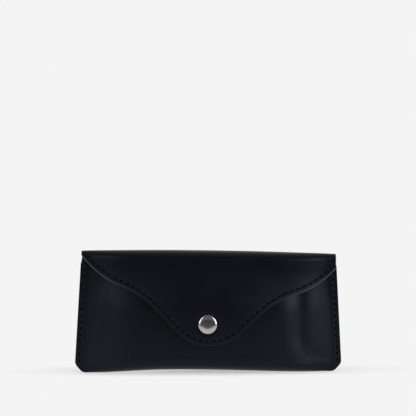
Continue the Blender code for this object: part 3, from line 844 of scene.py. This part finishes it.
# Snap stud. A plated stud stands on the front panel: a round base, a neck and a wider head with a dimple.
# It is hollow, and the post from behind the panel is riveted into it.
STUD_RADIUS = 0.0052
STUD_BASE = 0.0006
BASE_ROUND = 0.0003
STUD_SINK = 0.00015        # how far the base presses into the leather
STUD_RISE = 0.0017         # height of neck and head over the base
STUD_HEAD = 0.0021
HEAD_ROUND = 0.00055
HEAD_HEIGHT = 0.0012
STUD_NECK = 0.00175
NECK_ROUND = 0.0002
STUD_BORE = 0.0012
STUD_WALL = 0.0009         # solid height of the head over the bore
DIMPLE_RADIUS = 0.0010
DIMPLE_ROUND = 0.0003
DIMPLE_DEPTH = 0.0004
base_top = NO_GAP + STUD_BASE
stud_top = base_top + STUD_RISE
stud_profile = [(0.0, stud_top - DIMPLE_DEPTH)]
stud_profile += arc((DIMPLE_RADIUS, stud_top - DIMPLE_ROUND), DIMPLE_ROUND, 150.0, 90.0, 4)
stud_profile += arc((STUD_HEAD - HEAD_ROUND, stud_top - HEAD_ROUND), HEAD_ROUND, 90.0, -45.0, 9)
stud_profile += [(STUD_NECK, stud_top - HEAD_HEIGHT), (STUD_NECK, base_top + NECK_ROUND)]
stud_profile += arc((STUD_NECK + NECK_ROUND, base_top + NECK_ROUND), NECK_ROUND, 180.0, 270.0, 4)
stud_profile += arc((STUD_RADIUS - BASE_ROUND, base_top - BASE_ROUND), BASE_ROUND, 90.0, 0.0, 5)
stud_profile += [(STUD_RADIUS, -STUD_SINK), (STUD_BORE, -STUD_SINK)]
stud_profile += [(STUD_BORE, stud_top - STUD_WALL), (0.0, stud_top - STUD_WALL)]
carry(turn_piece("snap_stud_head", stud_profile, FRONT_DEPTH, plain_nickel), "pouch", "snap_stud")


# Snap post. A plated rivet comes through lining and leather from inside the pouch into the hollow stud.
# Its broad flange bears on the lining, with rounded edges so as not to scratch glasses.
POST_RADIUS = 0.0050
POST_SHAFT = 0.0011
POST_FLANGE = 0.0006
POST_TOP = STUD_WALL + 0.0001      # end of the shaft under the top of the stud
FLANGE_INNER_ROUND = 0.0002
FLANGE_OUTER_ROUND = 0.0004
HOLLOW_RADIUS = 0.0014     # hollow in the flange's middle, left by the riveting
HOLLOW_FLOOR = 0.0010
FLOOR_WALL = 0.0002        # thickness of the flange at the hollow
post_back = -LEATHER - BODY_LINING
flange_end = post_back - POST_FLANGE
post_profile = [(0.0, stud_top - POST_TOP), (POST_SHAFT, stud_top - POST_TOP)]
post_profile += [(POST_SHAFT, post_back + 0.0001)]
post_profile += arc((POST_RADIUS - FLANGE_INNER_ROUND, post_back - 0.0001), FLANGE_INNER_ROUND, 90.0, 0.0, 4)
post_profile += arc((POST_RADIUS - FLANGE_OUTER_ROUND, flange_end + FLANGE_OUTER_ROUND), FLANGE_OUTER_ROUND,
                    0.0, -90.0, 5)
post_profile += [(HOLLOW_RADIUS, flange_end), (HOLLOW_FLOOR, post_back - FLOOR_WALL)]
post_profile += [(0.0, post_back - FLOOR_WALL)]
carry(turn_piece("snap_post_eyelet", post_profile, FRONT_DEPTH, plain_nickel), "pouch", "snap_post")


# Studio. A pale paper sweep carries the case and its soft shadow; in front of the case, shade is painted
# into its colour.
# A wide soft light hangs over the case, a dim one fills from the front, and four tall narrow ones stand
# round it. Away from the shadow, the paper shows an even tone to the camera and in the metal.
SWEEP_BACK = 1.30
SWEEP_FRONT = -4.00
SWEEP_HALF = 4.00
SWEEP_RADIUS = 0.50
SWEEP_HEIGHT = 2.20
SWEEP_Z = -0.0001
PAPER = (0.88, 0.88, 0.89)
PAPER_TONE = (0.905, 0.905, 0.910)
DIM_START = -0.135         # painted shade starts in the paper's colour here, in front of the case
DIM_END = -0.23
DIM = 0.085
SHADOW_Y = 0.012           # middle of the shadow's zone behind the origin
SHADOW_NARROWING = 0.155   # depth of that zone as a share of its length
SHADOW_REACH = 0.022
SHADOW_TONE = 0.15         # share of the even tone in the middle of the zone
ROOM = 0.05


def ends_of(made, kind):
    """Vertices or edges among what an extrusion made."""
    return [item for item in made["geom"] if isinstance(item, kind)]


paper = bmesh.new()
front_corners = [paper.verts.new((side * SWEEP_HALF, SWEEP_FRONT, SWEEP_Z)) for side in (-1.0, 1.0)]
pushed = bmesh.ops.extrude_edge_only(paper, edges=[paper.edges.new(front_corners)])
floor_edge = [edge for edge in ends_of(pushed, bmesh.types.BMEdge)
              if all(vertex in pushed["geom"] for vertex in edge.verts)]
bmesh.ops.translate(paper, vec=(0.0, SWEEP_BACK - SWEEP_RADIUS - SWEEP_FRONT, 0.0),
                    verts=ends_of(pushed, bmesh.types.BMVert))
curved = bmesh.ops.spin(paper, geom=floor_edge, axis=(1.0, 0.0, 0.0), steps=24, angle=math.pi / 2.0,
                        cent=(0.0, SWEEP_BACK - SWEEP_RADIUS, SWEEP_RADIUS))
wall_edge = [item for item in curved["geom_last"] if isinstance(item, bmesh.types.BMEdge)]
raised = bmesh.ops.extrude_edge_only(paper, edges=wall_edge)
bmesh.ops.translate(paper, vec=(0.0, 0.0, SWEEP_HEIGHT - SWEEP_RADIUS),
                    verts=ends_of(raised, bmesh.types.BMVert))
bmesh.ops.recalc_face_normals(paper, faces=paper.faces)
paper_sweep = make_piece("paper_sweep", paper)


def seen_straight(tree):
    """1 for what the camera, a mirror or glass sees, and 0 for light on a matt surface."""
    path = add_node(tree, "ShaderNodeLightPath").outputs
    mirrored = calculate(tree, "MAXIMUM", path["Is Camera Ray"], path["Is Glossy Ray"])
    return calculate(tree, "MAXIMUM", mirrored, path["Is Transmission Ray"])


pale_paper, paper_tree, paper_shader = new_material("pale_paper", PAPER, 0.95)
paper_shader.inputs["Specular IOR Level"].default_value = 0.1
place = add_node(paper_tree, "ShaderNodeTexCoord").outputs["Object"]
around = add_node(paper_tree, "ShaderNodeMapping", Vector=place, Location=(0.0, -SHADOW_Y, 0.0),
                  Scale=(SHADOW_NARROWING, 1.0, 1.0))
from_case = add_node(paper_tree, "ShaderNodeVectorMath", operation="LENGTH", Vector=around.outputs["Vector"])
clear = add_node(paper_tree, "ShaderNodeMapRange", Value=from_case.outputs["Value"], From_Max=SHADOW_REACH,
                 To_Min=SHADOW_TONE).outputs["Result"]
depth = add_node(paper_tree, "ShaderNodeSeparateXYZ", Vector=place).outputs["Y"]
painted_falloff = add_node(paper_tree, "ShaderNodeMapRange", interpolation_type="SMOOTHSTEP", Value=depth,
               From_Min=DIM_END, From_Max=DIM_START).outputs["Result"]
# painted shade: the paper's colour and its even tone darken to DIM in front of the case, where light would
# fall off away from the set
paper_tree.links.new(ramp(paper_tree, painted_falloff, ((0.0, DIM), (1.0, PAPER))), paper_shader.inputs["Base Color"])
tone = add_node(paper_tree, "ShaderNodeEmission", Strength=1.0,
                Color=ramp(paper_tree, painted_falloff, ((0.0, DIM), (1.0, PAPER_TONE))))
even = add_node(paper_tree, "ShaderNodeMixShader",
                Fac=calculate(paper_tree, "MULTIPLY", clear, seen_straight(paper_tree)))
paper_tree.links.new(paper_shader.outputs["BSDF"], even.inputs[1])
paper_tree.links.new(tone.outputs["Emission"], even.inputs[2])
paper_tree.links.new(even.outputs["Shader"], paper_tree.nodes["Material Output"].inputs["Surface"])
paper_sweep.data.materials.append(pale_paper)


def soft_light(name, place, target, width, height, power):
    """A rectangular soft light at a place, turned towards a target."""
    lamp = bpy.data.lights.new(name, "AREA")
    lamp.shape = "RECTANGLE"
    lamp.size = width
    lamp.size_y = height
    lamp.energy = power
    light = bpy.data.objects.new(name, lamp)
    light.location = place
    light.rotation_euler = (Vector(target) - Vector(place)).to_track_quat("-Z", "Y").to_euler()
    bpy.context.scene.collection.objects.link(light)


soft_light("back_light", (0.0, 0.28, 1.35), (0.0, 0.05, 0.0), 2.0, 1.8, 7.0)
soft_light("front_light", (0.0, -1.60, 0.55), (0.0, 0.0, 0.06), 2.2, 0.7, 0.75)
soft_light("left_light", (-0.75, -0.85, 0.40), (0.0, 0.0, 0.04), 0.5, 1.0, 3.7)
soft_light("right_light", (0.88, -0.88, 0.40), (0.0, 0.0, 0.04), 0.5, 1.0, 8.8)
soft_light("left_rear_light", (-0.75, 0.85, 0.42), (0.0, 0.0, 0.04), 0.32, 1.1, 5.0)
soft_light("right_rear_light", (0.75, 0.85, 0.42), (0.0, 0.0, 0.04), 0.32, 1.1, 5.0)
world = bpy.data.worlds.new("studio_room")
world.use_nodes = True
room_tree = world.node_tree
room = room_tree.nodes["Background"]
room.inputs["Color"].default_value = (ROOM, ROOM, ROOM, 1.0)
shown = calculate(room_tree, "MULTIPLY_ADD", seen_straight(room_tree), DIM / ROOM - 1.0, 1.0)
room_tree.links.new(shown, room.inputs["Strength"])
bpy.context.scene.world = world
bpy.context.scene.view_settings.view_transform = "Standard"


# Camera. It stands in front, a little above the case, with a long lens.
# It is rolled very slightly, so that the case has the same tilt as in the photograph.
CAMERA_AWAY = 1.10
CAMERA_UP = 0.205
CAMERA_X = 0.0006
AIM_Z = 0.1059
CAMERA_ROLL = math.radians(-0.35)
camera_data = bpy.data.cameras.new("camera")
camera_data.lens = 151.4
camera_data.sensor_width = 36.0
camera = bpy.data.objects.new("camera", camera_data)
camera.location = (CAMERA_X, -CAMERA_AWAY, CAMERA_UP)
aim = (Vector((CAMERA_X, 0.0, AIM_Z)) - camera.location).to_track_quat("-Z", "Y").to_matrix()
camera.rotation_euler = (aim @ Matrix.Rotation(CAMERA_ROLL, 3, "Z")).to_euler()
bpy.context.scene.collection.objects.link(camera)
bpy.context.scene.camera = camera
